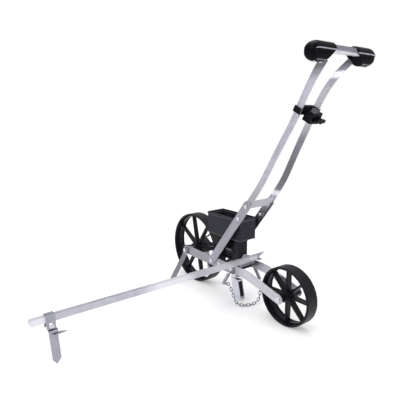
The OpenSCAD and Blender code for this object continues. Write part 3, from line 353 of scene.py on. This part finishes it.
def paint_nodes():
    """Gives each CAD node its finish."""
    for material, names in FINISH.items():
        for name in names:
            materials = nodes[name].data.materials
            materials.clear()
            materials.append(material)


paint_nodes()

# ---------- sculpted pieces ----------


# Edges sharper than these angles in degrees stay sharp.
GRIP_SHARP, SPRING_SHARP = 32, 35


def place_mesh(name, mesh, sharp):
    """Puts a finished mesh in the scene, shaded smooth across its soft edges."""
    mesh.shade_smooth()
    mesh.set_sharp_from_angle(angle=math.radians(sharp))
    piece = bpy.data.objects.new(name, mesh)
    bpy.context.scene.collection.objects.link(piece)
    return piece


def stand_in(piece, node, body):
    """Shows a piece in the place of a CAD node, on a body."""
    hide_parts(node)
    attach(piece, body)


def make_piece(name, verts, faces, material, sharp):
    """A mesh piece from points in millimetres."""
    mesh = bpy.data.meshes.new(name)
    mesh.from_pydata([Vector(v) * MM for v in verts], [], faces)
    mesh.validate()
    mesh.materials.append(material)
    shape = bmesh.new()
    shape.from_mesh(mesh)
    bmesh.ops.remove_doubles(shape, verts=shape.verts, dist=1e-6)
    bmesh.ops.recalc_face_normals(shape, faces=shape.faces)
    shape.to_mesh(mesh)
    shape.free()
    return place_mesh(name, mesh, sharp)


def turned(across, other, angle):
    """Unit vector at an angle in the plane of two unit vectors."""
    return math.cos(angle) * across + math.sin(angle) * other


def sweep(path, radius, sides, closed=False):
    """Round wire along a list of points: vertices and faces."""
    count = len(path)
    verts, faces = [], []
    side_way = None
    for i, point in enumerate(path):
        before = path[i - 1] if closed or i > 0 else point
        after = path[(i + 1) % count] if closed or i < count - 1 else point
        way = (after - before).normalized()
        if side_way is None:
            side_way = way.orthogonal().normalized()
        side_way = (side_way - way * side_way.dot(way)).normalized()
        other = way.cross(side_way)
        for k in range(sides):
            verts.append(point + radius * turned(side_way, other, 2 * math.pi * k / sides))
    rings = count if closed else count - 1
    for i in range(rings):
        for k in range(sides):
            k_next = (k + 1) % sides
            here, there = i * sides, ((i + 1) % count) * sides
            faces.append((here + k, here + k_next, there + k_next, there + k))
    if not closed:
        faces.append(tuple(reversed(range(sides))))
        faces.append(tuple(range((count - 1) * sides, count * sides)))
    return verts, faces


# Half of the gap between a grip's two shells.
GRIP_GAP = 0.15
# The right grip's box in millimetres, and the height of its seam.
UPPER_BOX, LOWER_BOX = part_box("right_grip_upper"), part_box("right_grip_lower")
GRIP_LOW = [min(a, b) / MM for a, b in zip(UPPER_BOX[0], LOWER_BOX[0])]
GRIP_HIGH = [max(a, b) / MM for a, b in zip(UPPER_BOX[1], LOWER_BOX[1])]
GRIP_CENTRE = ((GRIP_LOW[0] + GRIP_HIGH[0]) / 2, (GRIP_LOW[2] + GRIP_HIGH[2]) / 2)
SEAM_Z = UPPER_BOX[0][2] / MM - GRIP_GAP
# The ledge along the rear face: its height above the seam.
LEDGE_RISE = 4
# The outer end rounds off in height and in depth over these lengths, and this share of its depth goes.
END_HIGH, END_DEEP, END_LOSS = 30.0, 17.0, 0.62
# The inner end's rounded lip: its length, and the share of the section that goes.
LIP, LIP_LOSS = 5.0, 0.07
# The underside slopes down from the crossbar to the handle bar: its start above the centre, and its slope.
FLOOR_START, FLOOR_SLOPE = 7.0, 34.0 / 40.0
# Materials of a grip's faces: black skin, and pale painted highlights along the ledge and along a band; and
# the steps round its section that the ledge and the band take.
SKIN, LEDGE_HIGHLIGHT, BAND_HIGHLIGHT = 0, 1, 2
LEDGE_STEPS, BAND_STEP = 4, 11
# The ledge's painted highlight stops short of the outer end, and the painted highlight band starts past the
# inner end.
LEDGE_SHORT, BAND_START = 9.0, 36.0
# On the near grip the painted highlight band stops short of the outer end too.
NEAR_BAND_SHORT = 22.0


def arc(centre_x, centre_z, radius, start, end, steps=4):
    """Points on an arc between two angles in degrees."""
    angles = [math.radians(start + (end - start) * i / steps) for i in range(steps + 1)]
    return [(centre_x + radius * math.cos(a), centre_z + radius * math.sin(a)) for a in angles]


def grip_section():
    """Section of a grip in X and Z: a ledge on the rear face, then round from the bottom to the top."""
    front, rear = GRIP_LOW[0], GRIP_HIGH[0]
    bottom, top = GRIP_LOW[2], GRIP_HIGH[2]
    ledge = SEAM_Z + LEDGE_RISE
    step = [(rear, ledge + 2.8), (rear - 0.4, ledge + 1.0),
            (rear - 2.4, ledge + 0.3), (rear - 3.2, ledge - 1.5)]
    return (step
            + arc(rear - 21, bottom + 17, 17, -8, -90)
            + arc(front + 16, bottom + 16, 16, -90, -180)
            + arc(front + 18, top - 18, 18, 180, 90)
            + arc(rear - 20, top - 18, 18, 90, 22))


def soften(ring):
    """One round of corner cutting on a closed ring of points, which doubles their number."""
    fresh = []
    for i, point in enumerate(ring):
        after = ring[(i + 1) % len(ring)]
        for near in (0.75, 0.25):
            fresh.append(tuple(near * a + (1 - near) * b for a, b in zip(point, after)))
    return fresh


def grip_ring(y):
    """The grip's section at a distance from the middle plane."""
    inner, outer = GRIP_LOW[1], GRIP_HIGH[1]
    drop = max(0.0, (y - (outer - END_HIGH)) / END_HIGH)
    narrow = max(0.0, (y - (outer - END_DEEP)) / END_DEEP)
    start = max(0.0, 1.0 - (y - inner) / LIP)
    lip = 1.0 - LIP_LOSS * start * start
    high = math.sqrt(max(0.0, 1.0 - drop * drop)) * lip
    deep = (1.0 - (1.0 - math.sqrt(max(0.0, 1.0 - narrow * narrow))) * END_LOSS) * lip
    floor = GRIP_CENTRE[1] + FLOOR_START - (y - inner) * FLOOR_SLOPE
    ring = []
    for x, z in soften(grip_section()):
        ring.append((GRIP_CENTRE[0] + (x - GRIP_CENTRE[0]) * deep,
                     GRIP_CENTRE[1] + (max(z, floor) - GRIP_CENTRE[1]) * high))
    return ring


def grip_stations():
    """Distances from the middle plane that get a section: close at both ends, even between."""
    inner, outer = GRIP_LOW[1], GRIP_HIGH[1]
    stations = [inner + t for t in (0.0, 0.8, 2.0, 3.6, 5.5)]
    stations += [inner + 8.0 + 2.5 * i for i in range(24)]
    stations += [outer - END_HIGH * (1.0 - math.sin(math.radians(a))) - 0.05 for a in range(2, 89, 4)]
    return sorted(y for y in stations if y < outer)


def grip_mark(side, step, y):
    """Which of a grip's materials a face gets, from its step round the section and its distance."""
    inner, outer = GRIP_LOW[1], GRIP_HIGH[1]
    if step < LEDGE_STEPS and y < outer - LEDGE_SHORT:
        return LEDGE_HIGHLIGHT
    if step == BAND_STEP and y > inner + BAND_START and (side > 0 or y < outer - NEAR_BAND_SHORT):
        return BAND_HIGHLIGHT
    return SKIN


def make_grip(side, upper):
    """One half of a grip, above or below the seam. Side is -1 for the left grip and 1 for the right."""
    stations = grip_stations()
    verts, faces, marks = [], [], []
    for y in stations:
        verts += [(x, side * y, z) for x, z in grip_ring(y)]
    size = len(verts) // len(stations)
    for i in range(len(stations) - 1):
        middle = (stations[i] + stations[i + 1]) / 2
        for k in range(size):
            a, b = i * size + k, i * size + (k + 1) % size
            faces.append((a, b, b + size, a + size))
            marks.append(grip_mark(side, k, middle))
    for first in (0, (len(stations) - 1) * size):
        faces.append(tuple(range(first, first + size)))
        marks.append(SKIN)
    shape = bmesh.new()
    points = [shape.verts.new(Vector(v) * MM) for v in verts]
    for face, mark in zip(faces, marks):
        shape.faces.new([points[i] for i in face]).material_index = mark
    gap = GRIP_GAP if upper else -GRIP_GAP
    every = list(shape.verts) + list(shape.edges) + list(shape.faces)
    cut = bmesh.ops.bisect_plane(shape, geom=every, plane_co=(0, 0, (SEAM_Z + gap) * MM),
                                 plane_no=(0, 0, 1), clear_inner=upper, clear_outer=not upper)
    edges = [e for e in cut["geom_cut"] if isinstance(e, bmesh.types.BMEdge)]
    bmesh.ops.holes_fill(shape, edges=edges, sides=0)
    bmesh.ops.recalc_face_normals(shape, faces=shape.faces)
    name = f"{'left' if side < 0 else 'right'}_grip_{'upper' if upper else 'lower'}"
    mesh = bpy.data.meshes.new(name + "_look")
    shape.to_mesh(mesh)
    shape.free()
    for material in (GRIP, GRIP_LEDGE_HIGHLIGHT, GRIP_BAND_HIGHLIGHT):
        mesh.materials.append(material)
    stand_in(place_mesh(name + "_look", mesh, GRIP_SHARP), name, "frame")


# Springs in millimetres: their bolts, and the distance from a bolt to the lower loop.
SPRING_TOP_X, SPRING_TOP_Z, SPRING_Y = 291, 134, 65.5
SPRING_REACH = 65.6
# The coil starts this far below the bolt.
COIL_START = 8.0
COIL_TURNS, COIL_PITCH, COIL_RADIUS = 26, 2.0, 5.7
COIL_STEPS, LOOP_STEPS = 16, 28
WIRE_RADIUS, WIRE_SIDES = 1.0, 8
# The upper loop hangs this far below the bolt's middle.
LOOP_RADIUS, LOOP_DROP = 5.6, 2.3
# A short neck closes each end of the coil: its radius, half its length, and its distance above the eye.
NECK_RADIUS, NECK_HALF, NECK_SIDES, NECK_RISE = 4.9, 1.2, 12, 5
# For each spring, its side, the way that it hangs, and the way that its lower loop opens to the chain.
LEFT_WAY, LEFT_HOOK = (-35, 0, -56), (12, 16, -2)
RIGHT_WAY, RIGHT_LINK = (34, 0, -44), (353, 49, 40)


def coil_path(top, way):
    """Middle of a spring's coiled wire."""
    across = way.orthogonal().normalized()
    other = way.cross(across)
    path = []
    for i in range(COIL_TURNS * COIL_STEPS + 1):
        angle = 2 * math.pi * i / COIL_STEPS
        along = COIL_START + COIL_PITCH * i / COIL_STEPS
        path.append(top + way * along + COIL_RADIUS * turned(across, other, angle))
    return path


def loop_path(centre, normal):
    """Middle of the wire of a round loop."""
    across = normal.orthogonal().normalized()
    other = normal.cross(across)
    angles = [2 * math.pi * i / LOOP_STEPS for i in range(LOOP_STEPS)]
    return [centre + LOOP_RADIUS * turned(across, other, a) for a in angles]


def make_springs():
    """Both covering-chain springs: a close coil with a round loop at each end."""
    verts, faces = [], []

    def add(part):
        base = len(verts)
        verts.extend(part[0])
        faces.extend(tuple(base + i for i in face) for face in part[1])

    for side, way in ((-1, LEFT_WAY), (1, RIGHT_WAY)):
        way = Vector(way).normalized()
        top = Vector((SPRING_TOP_X, side * SPRING_Y, SPRING_TOP_Z))
        eye = top + SPRING_REACH * way
        hook = Vector(LEFT_HOOK) if side < 0 else Vector(RIGHT_LINK) - eye
        across_bolt = Vector((0, 1, 0))
        across_link = way.cross(hook.normalized()).normalized()
        add(sweep(coil_path(top, way), WIRE_RADIUS, WIRE_SIDES))
        add(sweep(loop_path(top + LOOP_DROP * way, across_bolt), WIRE_RADIUS, WIRE_SIDES, closed=True))
        add(sweep(loop_path(eye, across_link), WIRE_RADIUS, WIRE_SIDES, closed=True))
        for along in (COIL_START, SPRING_REACH - NECK_RISE):
            neck = [top + way * (along - NECK_HALF), top + way * (along + NECK_HALF)]
            add(sweep(neck, NECK_RADIUS, NECK_SIDES))
    piece = make_piece("chain_springs_look", verts, faces, SPRING, SPRING_SHARP)
    stand_in(piece, "chain_springs", "drag_chain")


for grip_side in (-1, 1):
    for grip_upper in (True, False):
        make_grip(grip_side, grip_upper)
make_springs()

# ---------- stage ----------

# Half of the floor's side.
FLOOR_HALF = 14.0
# The floor fades to plain white between these distances from the object, and starts partly white.
FADE_START, FADE_END, FADE_LEAST = 0.9, 2.2, 0.25
# Studio light by height, from the horizon's low side to straight up: the position and the colour.
SKY_LOW, SKY_MIDDLE, SKY_TOP = (0.0, (0.40, 0.40, 0.42)), (0.35, (0.55, 0.55, 0.58)), (1.0, (1.0, 1.0, 1.02))
# Lamps: the name, where it stands, what it points at, its width and height, and its power in watts.
LAMPS = [
    ("key_left", (0.2, -2.6, 2.3), (0.3, -0.2, 0.3), (1.8, 1.4), 42),
    ("top", (0.2, 0.2, 3.2), (0.3, -0.1, 0.2), (2.2, 2.2), 40),
    ("rear_right", (3.0, 0.9, 1.4), (0.4, -0.1, 0.3), (1.2, 1.2), 22),
]
# Camera: where it stands, how it is turned in degrees, and its focal length in widths of the picture.
CAMERA_PLACE = (1.4222, -1.0704, 0.7270)
CAMERA_AZIMUTH, CAMERA_DOWN, CAMERA_ROLL = 52.58, 11.45, -0.46
SENSOR_WIDTH = 36.0
FOCAL_WIDTHS = 413.5 / 400.0


def make_floor():
    """A wide pale floor that turns evenly white far from the object."""
    corners = [(-1, -1), (1, -1), (1, 1), (-1, 1)]
    mesh = bpy.data.meshes.new("floor")
    mesh.from_pydata([(x * FLOOR_HALF, y * FLOOR_HALF, 0) for x, y in corners], [], [(0, 1, 2, 3)])
    floor = bpy.data.objects.new("floor", mesh)
    bpy.context.scene.collection.objects.link(floor)
    data = bpy.data.materials.new("floor_paper")
    data.use_nodes = True
    tree = data.node_tree
    tree.nodes.clear()
    place = add_node(tree, "TexCoord").outputs["Object"]
    away = add_node(tree, "VectorMath", {"operation": "LENGTH"}, i0=place).outputs["Value"]
    fade = remap(tree, away, FADE_START, FADE_END, FADE_LEAST, 1.0)
    paper = add_node(tree, "BsdfDiffuse", None, Color=grey(0.90))
    glow = add_node(tree, "Emission", None, Color=grey(1.0), Strength=1.0)
    mixed = add_node(tree, "MixShader", None, i0=fade, i1=paper.outputs[0], i2=glow.outputs[0])
    output = add_node(tree, "OutputMaterial")
    tree.links.new(mixed.outputs[0], output.inputs[0])
    mesh.materials.append(data)


def make_world():
    """White to the camera; to the object, a studio that is bright above and dimmer near the horizon."""
    world = bpy.data.worlds.new("studio")
    bpy.context.scene.world = world
    world.use_nodes = True
    tree = world.node_tree
    tree.nodes.clear()
    way = add_node(tree, "TexCoord").outputs["Generated"]
    up = add_node(tree, "SeparateXYZ", None, Vector=way).outputs["Z"]
    ramp = add_node(tree, "ValToRGB", None, Fac=remap(tree, up, -0.2, 1.0, 0.0, 1.0))
    stops = ramp.color_ramp.elements
    middle = stops.new(SKY_MIDDLE[0])
    for stop, (position, colour) in zip((stops[0], middle, stops[2]), (SKY_LOW, SKY_MIDDLE, SKY_TOP)):
        stop.position = position
        stop.color = tint(*colour)
    seen = add_node(tree, "LightPath").outputs["Is Camera Ray"]
    colour = mix_colour(tree, seen, ramp.outputs[0], grey(1.0))
    back = add_node(tree, "Background", None, Color=colour, Strength=1.0)
    output = add_node(tree, "OutputWorld")
    tree.links.new(back.outputs[0], output.inputs[0])


def area_light(name, place, target, size, power):
    """A rectangular lamp that points at a target."""
    data = bpy.data.lights.new(name, "AREA")
    data.shape = "RECTANGLE"
    data.size, data.size_y = size
    data.energy = power
    lamp = bpy.data.objects.new(name, data)
    bpy.context.scene.collection.objects.link(lamp)
    lamp.location = place
    lamp.rotation_mode = "QUATERNION"
    lamp.rotation_quaternion = (Vector(target) - Vector(place)).to_track_quat("-Z", "Y")


def make_camera():
    """The camera of the main view."""
    azimuth, down, roll = (math.radians(a) for a in (CAMERA_AZIMUTH, CAMERA_DOWN, CAMERA_ROLL))
    data = bpy.data.cameras.new("camera")
    data.sensor_width = SENSOR_WIDTH
    data.lens = SENSOR_WIDTH * FOCAL_WIDTHS
    camera = bpy.data.objects.new("camera", data)
    bpy.context.scene.collection.objects.link(camera)
    level = math.cos(down)
    back = Vector((math.sin(azimuth) * level, -math.cos(azimuth) * level, math.sin(down)))
    right = Vector((math.cos(azimuth), math.sin(azimuth), 0.0))
    up = back.cross(right)
    turned_right = right * math.cos(roll) + up * math.sin(roll)
    turned_up = up * math.cos(roll) - right * math.sin(roll)
    pose = Matrix((turned_right, turned_up, back)).transposed().to_4x4()
    pose.translation = Vector(CAMERA_PLACE)
    camera.matrix_world = pose
    bpy.context.scene.camera = camera


make_floor()
make_world()
for lamp_values in LAMPS:
    area_light(*lamp_values)
make_camera()
bpy.context.scene.view_settings.view_transform = "Standard"
